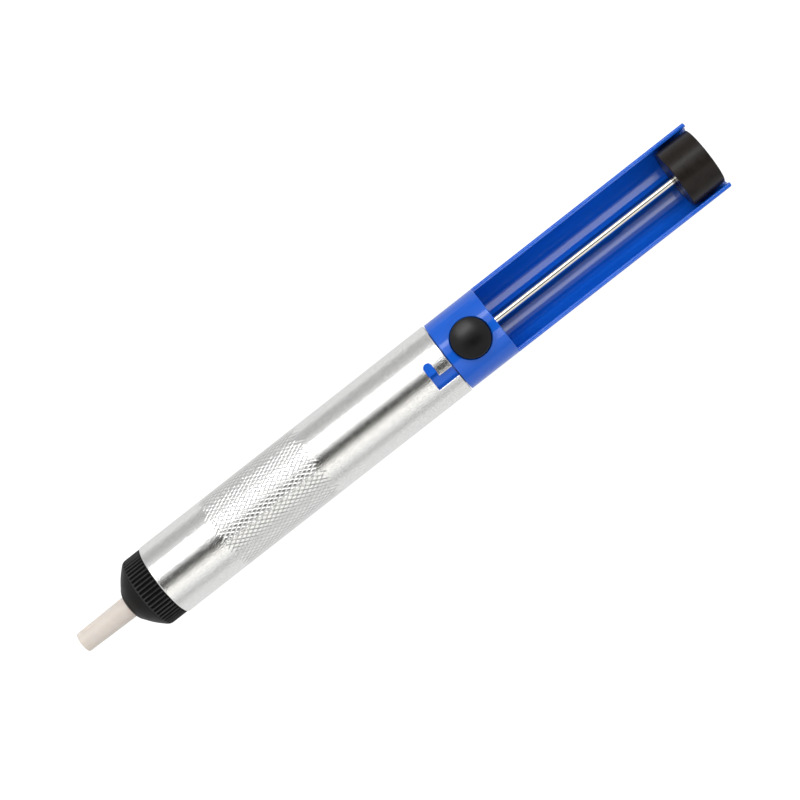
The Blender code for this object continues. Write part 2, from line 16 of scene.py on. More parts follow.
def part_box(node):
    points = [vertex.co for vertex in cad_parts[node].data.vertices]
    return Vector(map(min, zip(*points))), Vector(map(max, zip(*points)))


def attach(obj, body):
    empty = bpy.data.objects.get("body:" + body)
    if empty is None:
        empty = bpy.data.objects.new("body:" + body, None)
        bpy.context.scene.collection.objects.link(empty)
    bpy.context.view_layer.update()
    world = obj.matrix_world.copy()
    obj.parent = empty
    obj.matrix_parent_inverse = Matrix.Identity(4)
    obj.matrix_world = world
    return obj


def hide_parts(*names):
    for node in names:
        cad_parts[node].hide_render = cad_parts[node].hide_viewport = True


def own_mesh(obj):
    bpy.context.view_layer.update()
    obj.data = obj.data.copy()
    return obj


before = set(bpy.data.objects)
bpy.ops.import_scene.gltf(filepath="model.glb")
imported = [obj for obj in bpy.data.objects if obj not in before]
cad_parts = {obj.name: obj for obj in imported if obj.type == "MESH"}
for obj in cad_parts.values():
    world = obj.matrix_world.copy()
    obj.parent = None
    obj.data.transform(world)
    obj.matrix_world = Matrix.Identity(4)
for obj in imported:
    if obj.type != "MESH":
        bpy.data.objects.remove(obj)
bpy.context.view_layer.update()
MM = 0.001
ON_AXIS = 1e-9  # a smaller radius than this is a point on an axis

# ---- Places read from the frame ----------------------------------------------------------------------
barrel_low, barrel_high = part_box("barrel")
ORIGIN = Vector((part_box("nozzle")[0][0], 0.0, (barrel_low[2] + barrel_high[2]) / 2))


def reach(node):
    """Where a node starts and ends along the pump."""
    low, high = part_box(node)
    return low[0] - ORIGIN.x, high[0] - ORIGIN.x


def radius_of(node):
    low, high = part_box(node)
    return (high[1] - low[1]) / 2


BARREL_FRONT, BARREL_REAR = reach("barrel")
SPIGOT_REAR = reach("nose_cap")[1]
HANDLE_FRONT, GUARD_END = reach("handle")
KNOB_FRONT, KNOB_REAR = reach("plunger_knob")
ROD_FRONT, ROD_REAR = reach("plunger_rod")
NOZZLE_REAR = reach("nozzle")[1]
BUTTON_LEFT, BUTTON_RIGHT = reach("release_button")
BUTTON_X = (BUTTON_LEFT + BUTTON_RIGHT) / 2
BARREL_RADIUS = radius_of("barrel")
HANDLE_RADIUS = radius_of("handle")
CAP_RADIUS = radius_of("nose_cap")
KNOB_RADIUS = radius_of("plunger_knob")
BUTTON_RADIUS = radius_of("release_button")
ROD_RADIUS = radius_of("plunger_rod")

# Sizes that the nodes' boxes don't give
BARREL_GAP = 0.25 * MM  # at each end of the barrel
BORE_RADIUS = 9.0 * MM
SPIGOT_RADIUS = 8.9 * MM
CAP_FRONT = 14.95 * MM  # flat face of the nose, which the nozzle's hole takes away
CAP_REAR = BARREL_FRONT - BARREL_GAP
COLLAR_FRONT = BARREL_REAR + BARREL_GAP
COLLAR_REAR = 2 * BUTTON_X - COLLAR_FRONT

# ---- Knurl: two sets of grooves that wind opposite ways ----------------------------------------------
KNURL_FRONT = 44.0 * MM
KNURL_REAR = 76.0 * MM
KNURL_STARTS = 53
KNURL_CROSSINGS = 33  # half cells along the knurl
GROOVE_LINES = (0.0, 0.09, 0.18, 0.5, 0.82, 0.91)  # mesh lines across one groove pitch
GROOVE_SHAPE = (1.0, 0.45, 0.0, -0.03, 0.0, 0.45)  # depth at each line, as a share of GROOVE_DEPTH
GROOVE_DEPTH = 0.10 * MM

# ---- Bayonet -----------------------------------------------------------------------------------------
SLOT_FRONT = 109.15 * MM
SLOT_WIDTH = 2.25 * MM
SLOT_END = math.radians(-10.8)
LEG_START = math.radians(14.7)
LEG_STOP = math.radians(32.6)
LUG_END = math.radians(-9.9)
LUG_START = math.radians(6.5)

# ---- Cap's ribs, guard and button's well -------------------------------------------------------------
RIB_COUNT = 52
RIB_DEPTH = 0.60 * MM
RIM_HEIGHT = 1.5 * MM
CHANNEL_HALF_WIDTH = 8.65 * MM
CHANNEL_DEPTH = 8.5 * MM
WELL_RADIUS = 5.2 * MM
FLOOR_RADIUS = 12.3 * MM
FLOOR_HALF_WIDTH = 2.9 * MM


# ---- Mesh helpers ------------------------------------------------------------------------------------
def arc(centre_x, centre_r, radius, start, stop, steps):
    """Points of an arc in a plane, from angle start to angle stop, in degrees."""
    turn = np.radians(np.linspace(start, stop, steps + 1))
    return [(centre_x + radius * math.cos(a), centre_r + radius * math.sin(a)) for a in turn]


def add_object(name, data):
    obj = bpy.data.objects.new(name, data)
    bpy.context.scene.collection.objects.link(obj)
    obj.location = ORIGIN
    return obj


def solid(name, verts, faces, sharp=35):
    """A closed mesh with its faces out and its edges sharp only where they turn more than that."""
    data = bpy.data.meshes.new(name)
    data.from_pydata(verts, [], faces)
    mesh = bmesh.new()
    mesh.from_mesh(data)
    bmesh.ops.recalc_face_normals(mesh, faces=mesh.faces)
    mesh.to_mesh(data)
    mesh.free()
    data.shade_smooth()
    data.set_sharp_from_angle(angle=math.radians(sharp))
    return add_object(name, data)


def lathe_points(outline, steps, upright=None):
    """Vertices and faces of an (along, radius) outline turned about the pump's axis, or about an upright
    axis at x = upright. An outline that starts on the axis ends on it, and any other one is a closed loop."""
    verts, rings, faces = [], [], []
    for along, radius in outline:
        count = steps if radius > ON_AXIS else 1
        rings.append(range(len(verts), len(verts) + count))
        for i in range(count):
            turn = math.tau * (i + 0.5) / steps
            across, up = -radius * math.sin(turn), radius * math.cos(turn)
            verts.append((along, across, up) if upright is None else (upright + up, across, along))
    pairs = list(zip(rings, rings[1:]))
    if outline[0][1] > ON_AXIS:
        pairs.append((rings[-1], rings[0]))
    for one, two in pairs:
        for i in range(steps):
            j = (i + 1) % steps
            quad = [one[i % len(one)], one[j % len(one)], two[j % len(two)], two[i % len(two)]]
            faces.append(list(dict.fromkeys(quad)))
    return verts, faces


def lathe(name, outline, steps, upright=None):
    return solid(name, *lathe_points(outline, steps, upright))


def loft(name, rings, capped=True, sharp=35):
    """Rings of points, each as long as the last, joined by quads and closed with a face at each end."""
    count = len(rings[0])
    verts = [p for ring in rings for p in ring]
    faces = []
    for k in range(len(rings) - 1):
        for i in range(count):
            j = (i + 1) % count
            a, b = k * count, (k + 1) * count
            faces.append((a + i, a + j, b + j, b + i))
    if capped:
        faces.append(tuple(range(count)))
        faces.append(tuple(range(len(verts) - count, len(verts))))
    return solid(name, verts, faces, sharp)


def prism(name, outline, start, stop):
    """A (y, z) outline along the pump from start to stop."""
    return loft(name, [[(x, y, z) for y, z in outline] for x in (start, stop)])


def block(name, low, high):
    corners = [(low[0], low[1]), (high[0], low[1]), (high[0], high[1]), (low[0], high[1])]
    return loft(name, [[(x, y, z) for x, y in corners] for z in (low[2], high[2])])


def combine(target, tool, operation="DIFFERENCE"):
    """Cuts the tool from the target, or joins it on, and removes the tool."""
    modifier = target.modifiers.new("cut", "BOOLEAN")
    modifier.object = tool
    modifier.operation = operation
    modifier.solver = "EXACT"
    graph = bpy.context.evaluated_depsgraph_get()
    made = bpy.data.meshes.new_from_object(target.evaluated_get(graph))
    target.modifiers.remove(modifier)
    target.data = made
    bpy.data.objects.remove(tool)


def grown(outline, distance):
    """A closed flat outline with every side moved outwards."""
    points = np.array(outline)
    after, before = np.roll(points, -1, axis=0), np.roll(points, 1, axis=0)

    def square_to(side):
        side = side / np.linalg.norm(side, axis=1)[:, None]
        return np.stack([side[:, 1], -side[:, 0]], axis=1)

    area = np.sum(points[:, 0] * after[:, 1] - points[:, 1] * after[:, 0])
    one, two = square_to(points - before), square_to(after - points)
    spread = (one + two) / (1 + np.sum(one * two, axis=1))[:, None]
    return points + math.copysign(distance, area) * spread


def bent(outline, radius, reference):
    """A flat (x, arc length at the reference radius) outline laid round the axis at a radius."""
    turn = [s / reference for x, s in outline]
    return [(x, -radius * math.sin(a), radius * math.cos(a)) for (x, s), a in zip(outline, turn)]


def rounded_slot(front, rear, end_angle, reference, tail):
    """A flat outline with a half-round end at end_angle, carried on by the tail's (x, angle) points."""
    half = (rear - front) / 2
    centre = end_angle * reference + half
    turns = np.linspace(0, math.pi, 17)
    end = [((front + rear) / 2 - half * math.cos(t), centre - half * math.sin(t)) for t in turns]
    return end + [(x, a * reference) for x, a in tail]


def settle_normals(obj, cylinders, sharp=32):
    """After cuts, gives the faces of the named cylinders their true normals. Each cylinder is (axis letter,
    place of an upright axis along the pump, radius)."""
    off_surface, square_on = 0.004 * MM, 0.99
    data = obj.data
    data.shade_smooth()
    data.set_sharp_from_angle(angle=math.radians(sharp))
    points = np.empty(len(data.vertices) * 3, np.float32)
    data.vertices.foreach_get("co", points)
    points = points.reshape(-1, 3)
    corners = np.empty(len(data.loops), np.int32)
    data.loops.foreach_get("vertex_index", corners)
    sides = np.empty(len(data.polygons), np.int32)
    data.polygons.foreach_get("loop_total", sides)
    flat = np.empty(len(data.polygons) * 3, np.float32)
    data.polygons.foreach_get("normal", flat)
    flat = np.repeat(flat.reshape(-1, 3), sides, axis=0)
    places = points[corners]
    normals = np.zeros_like(places)
    for letter, centre, radius in cylinders:
        away = places.copy()
        if letter == "X":
            away[:, 0] = 0
        else:
            away[:, 0] -= centre
            away[:, 2] = 0
        length = np.linalg.norm(away, axis=1)
        unit = away / np.maximum(length, ON_AXIS)[:, None]
        facing = np.sum(unit * flat, axis=1)
        fits = (np.abs(length - radius) < off_surface) & (np.abs(facing) > square_on)
        normals[fits] = (unit * np.sign(facing)[:, None])[fits]
    data.normals_split_custom_set(normals.tolist())


def dress(obj, body, material, slot, *nodes):
    """The piece's material, the body that it rides on, and the CAD nodes that it stands for."""
    obj.data.materials.clear()
    obj.data.materials.append(material)
    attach(obj, body)
    if nodes:
        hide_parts(*nodes)
    return obj


# ---- Materials ---------------------------------------------------------------------------------------
class Finish:
    """A Principled material whose details are built from noise in the pump's own coordinates."""

    def __init__(self, name, colour, roughness, metallic=0.0):
        self.material = bpy.data.materials.new(name)
        self.material.use_nodes = True
        self.tree = self.material.node_tree
        self.shader = self.tree.nodes["Principled BSDF"]
        self.shader.inputs["Base Color"].default_value = (*colour, 1)
        self.shader.inputs["Roughness"].default_value = roughness
        self.shader.inputs["Metallic"].default_value = metallic
        self.coordinates = self.tree.nodes.new("ShaderNodeTexCoord")

    def noise(self, size, detail, stretch=(1, 1, 1)):
        """Noise with features of about that size, longer along each axis by the stretch."""
        mapping = self.tree.nodes.new("ShaderNodeMapping")
        mapping.inputs["Scale"].default_value = [1 / (size * s) for s in stretch]
        made = self.tree.nodes.new("ShaderNodeTexNoise")
        made.inputs["Scale"].default_value = 1.0
        made.inputs["Detail"].default_value = detail
        self.tree.links.new(self.coordinates.outputs["Object"], mapping.inputs["Vector"])
        self.tree.links.new(mapping.outputs["Vector"], made.inputs["Vector"])
        return made.outputs["Fac"]

    def outward(self, low, high, first, last):
        """0 below one distance from the pump's axis and 1 above the other, and 1 all over outside the
        stretch from first to last along the pump."""
        split = self.tree.nodes.new("ShaderNodeSeparateXYZ")
        flat = self.tree.nodes.new("ShaderNodeVectorMath")
        flat.operation = "MULTIPLY"
        flat.inputs[1].default_value = (0, 1, 1)
        length = self.tree.nodes.new("ShaderNodeVectorMath")
        length.operation = "LENGTH"
        self.tree.links.new(self.coordinates.outputs["Object"], split.inputs["Vector"])
        self.tree.links.new(self.coordinates.outputs["Object"], flat.inputs[0])
        self.tree.links.new(flat.outputs["Vector"], length.inputs[0])
        level = self.spread(length.outputs["Value"], 0.0, 1.0, low, high)
        middle = self.calculate("SUBTRACT", split.outputs["X"], (first + last) / 2)
        away = self.calculate("GREATER_THAN", self.calculate("ABSOLUTE", middle), (last - first) / 2)
        return self.calculate("MAXIMUM", level, away)

    def outside_rod_shadow(self):
        """Mask of the painted shadow of the rod: 0 on the strip of the guard's floor below the rod, fading to
        1 over the rest of the handle. The painted shadow's edge is soft on the side away from the main light."""
        split = self.tree.nodes.new("ShaderNodeSeparateXYZ")
        self.tree.links.new(self.coordinates.outputs["Object"], split.inputs["Vector"])
        across = split.outputs["Y"]
        inside, outside = 9.2 * MM, 9.3 * MM
        skin = self.outward(inside, outside, COLLAR_REAR, GUARD_END)
        lit_fade, far_fade = (1.6 * MM, 1.95 * MM), (-4.8 * MM, -1.8 * MM)
        lit_side = self.spread(across, 0.0, 1.0, *lit_fade)
        far_side = self.spread(across, 1.0, 0.0, *far_fade)
        return self.calculate("MAXIMUM", skin, self.calculate("MAXIMUM", lit_side, far_side))

    def calculate(self, operation, one, two=0.0):
        """A maths node. Each value is a number or another node's output."""
        made = self.tree.nodes.new("ShaderNodeMath")
        made.operation = operation
        for socket, value in zip(made.inputs, (one, two)):
            if isinstance(value, float):
                socket.default_value = value
            else:
                self.tree.links.new(value, socket)
        return made.outputs["Value"]

    def shade(self, value, low):
        """The base colour so far, times low where the value is 0 and unchanged where it is 1."""
        colour = self.shader.inputs["Base Color"]
        source = colour.links[0].from_socket
        made = self.tree.nodes.new("ShaderNodeMix")
        made.data_type = "RGBA"
        made.blend_type = "MULTIPLY"
        made.inputs["B"].default_value = (low, low, low, 1)
        inverse = self.calculate("SUBTRACT", 1.0, value)
        self.tree.links.new(inverse, made.inputs["Factor"])
        self.tree.links.new(source, made.inputs["A"])
        self.tree.links.new(made.outputs["Result"], colour)

    def spread(self, value, low, high, start=0.3, stop=0.7):
        """The value from start to stop, mapped to low to high."""
        made = self.tree.nodes.new("ShaderNodeMapRange")
        made.inputs["From Min"].default_value = start
        made.inputs["From Max"].default_value = stop
        made.inputs["To Min"].default_value = low
        made.inputs["To Max"].default_value = high
        self.tree.links.new(value, made.inputs["Value"])
        return made.outputs["Result"]

    def tint(self, value, one, two, start=0.3, stop=0.7):
        """Base colour from one to two as the value goes from start to stop."""
        ramp = self.tree.nodes.new("ShaderNodeValToRGB")
        ramp.color_ramp.elements[0].position = start
        ramp.color_ramp.elements[0].color = (*one, 1)
        ramp.color_ramp.elements[1].position = stop
        ramp.color_ramp.elements[1].color = (*two, 1)
        self.tree.links.new(value, ramp.inputs["Fac"])
        self.tree.links.new(ramp.outputs["Color"], self.shader.inputs["Base Color"])

    def rough(self, value, low, high):
        self.tree.links.new(self.spread(value, low, high), self.shader.inputs["Roughness"])

    def bump(self, value, height, below=None):
        """Relief of that height, over any relief made before it."""
        made = self.tree.nodes.new("ShaderNodeBump")
        made.inputs["Strength"].default_value = 1.0
        made.inputs["Distance"].default_value = height
        self.tree.links.new(value, made.inputs["Height"])
        if below is not None:
            self.tree.links.new(below, made.inputs["Normal"])
        self.tree.links.new(made.outputs["Normal"], self.shader.inputs["Normal"])
        return made.outputs["Normal"]


def drawn_aluminium():
    """Bare drawn tube: a fine even grain, faint lines along the tube, slightly duller patches, and painted
    shade in the knurl grooves, darker below the tube's surface."""
    made = Finish("drawn_aluminium", (0.91, 0.91, 0.90), 0.07, 1.0)
    grain = made.noise(0.24 * MM, 1)
    lines = made.noise(0.25 * MM, 2, (60, 1, 1))
    patches = made.noise(6 * MM, 3, (3, 1, 1))
    made.tint(grain, (0.80, 0.80, 0.79), (0.98, 0.98, 0.97), 0.36, 0.64)
    # painted shade: the knurl grooves' base colour is darkened below the tube's surface
    groove_shade_depth, unshaded_depth, recess_shading = 0.075 * MM, 0.02 * MM, 0.66
    low, high = BARREL_RADIUS - groove_shade_depth, BARREL_RADIUS - unshaded_depth
    made.shade(made.outward(low, high, KNURL_FRONT, KNURL_REAR), recess_shading)
    made.rough(patches, 0.06, 0.10)
    made.bump(grain, 0.050 * MM, made.bump(lines, 0.002 * MM))
    return made.material


def blue_abs():
    """Glossy moulded ABS: nearly flat, with a slow ripple from the mould and fine handling marks. The guard's
    floor below the rod is darkened with a painted shadow of the rod."""
    made = Finish("blue_abs", (0.004, 0.095, 0.60), 0.1)
    made.shader.inputs["Specular IOR Level"].default_value = 0.45
    ripple = made.noise(3.5 * MM, 2, (4, 1, 1))
    marks = made.noise(0.5 * MM, 4, (6, 1, 1))
    made.tint(ripple, (0.004, 0.097, 0.560), (0.006, 0.111, 0.612))
    # painted shadow: the base colour of the guard's floor below the rod is darkened
    rod_shadow_darkening = 0.34
    made.shade(made.outside_rod_shadow(), rod_shadow_darkening)
    made.rough(marks, 0.035, 0.06)
    made.bump(marks, 0.001 * MM, made.bump(ripple, 0.004 * MM))
    made.shader.inputs["Subsurface Weight"].default_value = 0.06
    made.shader.inputs["Subsurface Radius"].default_value = (0.0002, 0.0005, 0.0015)
    return made.material


def black_abs(name, colour, low, high, grain_height, gloss):
    """Satin moulded ABS with a fine grain, worn unevenly. Low and high are its least and most roughness."""
    made = Finish(name, colour, (low + high) / 2)
    made.shader.inputs["Specular IOR Level"].default_value = gloss
    grain = made.noise(0.18 * MM, 3)
    wear = made.noise(2.2 * MM, 4)
    made.tint(wear, [c * 0.85 for c in colour], [c * 1.25 for c in colour])
    made.rough(wear, low, high)
    made.bump(grain, grain_height)
    return made


def nose_black():
    """Painted shade: everything on the cap below the ribs' crests, the hollows between the ribs, the cone and
    the bore, is much darker than the crests.
    """
    made = black_abs("nose_black", (0.040, 0.040, 0.039), 0.34, 0.44, 0.008 * MM, 0.09)
    # painted shade: the cap's base colour is darkened below the ribs' crests
    hollow_depth, crest_depth, recess_shading = 0.36 * MM, 0.03 * MM, 0.08
    low, high = CAP_RADIUS - hollow_depth, CAP_RADIUS - crest_depth
    made.shade(made.outward(low, high, CAP_FRONT, CAP_REAR), recess_shading)
    return made.material


def ptfe():
    """Waxy, slightly see-through and faintly mottled, with turning marks round it."""
    made = Finish("ptfe", (0.90, 0.84, 0.79), 0.42)
    mottle = made.noise(1.6 * MM, 3)
    turning = made.noise(0.16 * MM, 2, (1, 40, 40))
    made.tint(mottle, (0.69, 0.63, 0.575), (0.72, 0.66, 0.605))
    made.rough(mottle, 0.36, 0.50)
    made.bump(turning, 0.003 * MM)
    made.shader.inputs["Subsurface Weight"].default_value = 0.75
    made.shader.inputs["Subsurface Radius"].default_value = (0.0025, 0.0018, 0.0014)
    return made.material


def drawn_steel(name, colour, low, high, line_height):
    """Wire or rod: fine lines along x, and the odd dull patch."""
    made = Finish(name, colour, (low + high) / 2, 1.0)
    lines = made.noise(0.12 * MM, 2, (80, 1, 1))
    patches = made.noise(3 * MM, 3)
    made.tint(patches, [c * 0.94 for c in colour], [min(1.0, c * 1.04) for c in colour])
    made.rough(patches, low, high)
    made.bump(lines, line_height)
    return made.material


def rubber():
    made = Finish("seal_rubber", (0.02, 0.02, 0.02), 0.6)
    bloom = made.noise(1.2 * MM, 4)
    grain = made.noise(0.1 * MM, 3)
    made.tint(bloom, (0.014, 0.014, 0.014), (0.035, 0.034, 0.033))
    made.rough(bloom, 0.5, 0.75)
    made.bump(grain, 0.006 * MM)
    return made.material


def acetal():
    made = Finish("white_acetal", (0.80, 0.80, 0.77), 0.35)
    mottle = made.noise(2 * MM, 3)
    turning = made.noise(0.15 * MM, 2, (1, 40, 40))
    made.tint(mottle, (0.76, 0.76, 0.73), (0.83, 0.83, 0.80))
    made.rough(mottle, 0.3, 0.45)
    made.bump(turning, 0.004 * MM)
    return made.material


ALUMINIUM = drawn_aluminium()
BLUE = blue_abs()
BLACK = black_abs("black_abs", (0.013, 0.0100, 0.0085), 0.24, 0.34, 0.016 * MM, 0.18).material
NOSE_BLACK = nose_black()
BUTTON_BLACK = black_abs("button_black", (0.0036, 0.0030, 0.0034), 0.29, 0.37, 0.022 * MM, 0.21).material
PTFE = ptfe()
ROD_STEEL = drawn_steel("rod_steel", (0.84, 0.80, 0.73), 0.05, 0.09, 0.002 * MM)
SPRING_STEEL = drawn_steel("spring_steel", (0.50, 0.50, 0.51), 0.22, 0.36, 0.003 * MM)
RUBBER = rubber()
ACETAL = acetal()


# ---- Nozzle ------------------------------------------------------------------------------------------
def make_nozzle():
    bore, tip, root, flange = 1.4 * MM, 2.74 * MM, 2.99 * MM, 4.2 * MM
    flange_front = NOZZLE_REAR - 1.5 * MM
    edge = 0.45 * MM
    outline = arc(0.25 * MM, bore + 0.25 * MM, 0.25 * MM, 270, 180, 4)
    outline += arc(edge, tip - edge, edge, 180, 90, 8)
    outline += [(CAP_FRONT * share, tip + (root - tip) * share) for share in (0.2, 0.4, 0.6, 0.8, 1.0)]
    outline += [(flange_front, root), (flange_front, flange), (NOZZLE_REAR, flange), (NOZZLE_REAR, bore)]
    dress(lathe("nozzle_tube", outline, 96), "nose", PTFE, "ptfe", "nozzle")


# ---- Nose cap ----------------------------------------------------------------------------------------
def make_nose_cap():
    slope, bulge = 47.9, 0.16 * MM
    face_radius, mouth_radius, nose_round, edge_round = 2.1 * MM, 3.3 * MM, 4.3 * MM, 2.0 * MM
    mouth = math.degrees(math.asin((mouth_radius - face_radius) / nose_round))
    nose = arc(CAP_FRONT + nose_round, face_radius, nose_round, 180 - mouth, 90 + slope, 12)
    cone_x, cone_r = nose[-1]
    edge_r = CAP_RADIUS - edge_round
    rise = edge_r + edge_round * math.sin(math.radians(90 + slope)) - cone_r
    edge_x = cone_x + rise / math.tan(math.radians(slope)) - edge_round * math.cos(math.radians(90 + slope))
    edge = arc(edge_x, edge_r, edge_round, 90 + slope, 90, 12)
    cone = []
    for k in np.linspace(0, 1, 14)[1:-1]:
        along, radius = np.array(nose[-1]) * (1 - k) + np.array(edge[0]) * k
        out = bulge * math.sin(math.pi * k)
        along -= out * math.sin(math.radians(slope))
        radius += out * math.cos(math.radians(slope))
        cone.append((along, radius))
    lip = 0.15 * MM
    band = [(x, CAP_RADIUS) for x in np.linspace(edge_x, CAP_REAR - lip, 8)[1:-1]]
    band += arc(CAP_REAR - lip, CAP_RADIUS - lip, lip, 90, 0, 4)
    outside = [*nose, *cone, *edge, *band]

    groove = (CAP_REAR + SPIGOT_REAR) / 2
    half_groove, groove_radius, spigot_edge = 0.7 * MM, 7.85 * MM, 0.3 * MM
    shoulder, chamber = CAP_FRONT + 4.8 * MM, CAP_FRONT + 8.95 * MM
    spigot = [
        (CAP_REAR, SPIGOT_RADIUS),
        (groove - half_groove, SPIGOT_RADIUS),
        (groove - half_groove, groove_radius),
        (groove + half_groove, groove_radius),
        (groove + half_groove, SPIGOT_RADIUS),
        *arc(SPIGOT_REAR - spigot_edge, SPIGOT_RADIUS - spigot_edge, spigot_edge, 90, 0, 3),
    ]
    hole, counterbore, inside = 3.1 * MM, 4.35 * MM, 6.5 * MM
    bore = [
        (SPIGOT_REAR, inside),
        (chamber, inside),
        (chamber, counterbore),
        (shoulder, counterbore),
        (shoulder, hole),
        (nose[0][0], hole),
    ]
    outline = [*outside, *spigot, *bore]
    lines_per_rib, flute_share, flute_power = 10, 0.78, 2.4
    steps = RIB_COUNT * lines_per_rib
    verts, faces = lathe_points(outline, steps)
    points = np.array(verts).reshape(len(outline), steps, 3)
    place = np.abs(((np.arange(steps) + 0.5) / lines_per_rib) % 1 - 0.5) * 2
    flute = RIB_DEPTH * (1 - np.minimum(place / flute_share, 1) ** flute_power)
    ribs_start, runout = CAP_FRONT + 5.5 * MM, 0.5 * MM
    for k in range(len(outside)):
        along, radius = outline[k]
        depth = min(max((along - ribs_start) / runout, 0), 1)
        cut = np.minimum(radius, CAP_RADIUS - flute * depth)
        points[k, :, 1:] *= (cut / radius)[:, None]
    cap = solid("nose_cap_shell", points.reshape(-1, 3).tolist(), faces, 50)
    dress(cap, "nose", NOSE_BLACK, "black_plastic", "nose_cap")


# ---- Barrel ------------------------------------------------------------------------------------------
def knurl_lattice():
    """Vertices and faces of the knurled outside. Mesh lines run along both sets of grooves, so a line of
    the lattice is the bottom or the edge of a groove all the way."""
    lines = len(GROOVE_LINES)
    around, along = KNURL_STARTS * lines, KNURL_CROSSINGS * lines
    m, b = np.meshgrid(np.arange(along + 1), np.arange(around), indexing="ij")
    a = b + m
    share, depth = np.array(GROOVE_LINES), np.array(GROOVE_SHAPE)
    at_a = a // lines + share[a % lines]
    at_b = b // lines + share[b % lines]
    x = KNURL_FRONT + (at_a - at_b) * (KNURL_REAR - KNURL_FRONT) / KNURL_CROSSINGS
    turn = (at_a + at_b) / 2 * math.tau / KNURL_STARTS

    def grooves(position, index, first, last):
        """Depth of one set, with each groove's ends a little out of line with the next one's."""
        front_play, rear_play, runout = 0.35 * MM, 0.8 * MM, 0.9 * MM
        number = np.round(position) % KNURL_STARTS
        uneven = np.sin(number * 2.4)
        ramp = np.minimum(x - first - front_play * uneven, last + rear_play * uneven - x) / runout
        return depth[index % lines] * np.clip(ramp, 0, 1)

    one_front, one_rear = KNURL_FRONT + 0.4 * MM, KNURL_REAR - 1.8 * MM
    two_front, two_rear = KNURL_FRONT + 1.2 * MM, KNURL_REAR - 0.9 * MM
    one = grooves(at_a, a, one_front, one_rear)
    two = grooves(at_b, b, two_front, two_rear)
    cut = np.maximum(one, two) + np.minimum(np.minimum(one, two), 0)
    radius = BARREL_RADIUS - GROOVE_DEPTH * cut
    verts = np.stack([x, -radius * np.sin(turn), radius * np.cos(turn)], -1).reshape(-1, 3)
    faces = []
    for k in range(along + 1):
        row, above, below = k * around, (k + 1) * around, (k - 1) * around
        for i in range(around):
            j = (i + 1) % around
            face = [row + i]
            if k < along:
                face.append(above + i)
            face.append(row + j)
            if k > 0:
                face.append(below + j)
            if len(face) > 2:
                faces.append(face)
    front = list(range(around))
    rear = list(range(along * around, (along + 1) * around))
    return verts.tolist(), faces, front, rear


def slot_cutter():
    """The bayonet slot, flaring at the surface so that the tube's edges come out broken."""
    slot_rear = SLOT_FRONT + SLOT_WIDTH
    past = 1.5 * MM
    tail = [
        (slot_rear, LEG_START),
        (BARREL_REAR + past, LEG_START),
        (BARREL_REAR + past, LEG_STOP),
        (SLOT_FRONT, LEG_STOP),
    ]
    flat = rounded_slot(SLOT_FRONT, slot_rear, SLOT_END, BARREL_RADIUS, tail)
    edge, over = 0.05 * MM, 0.002 * MM
    wide = grown(flat, edge)
    rings = [
        bent(flat, BORE_RADIUS - past, BARREL_RADIUS),
        bent(flat, BARREL_RADIUS - edge, BARREL_RADIUS),
        bent(wide, BARREL_RADIUS + over, BARREL_RADIUS),
        bent(wide, BARREL_RADIUS + past, BARREL_RADIUS),
    ]
    return loft("slot_cutter", rings)


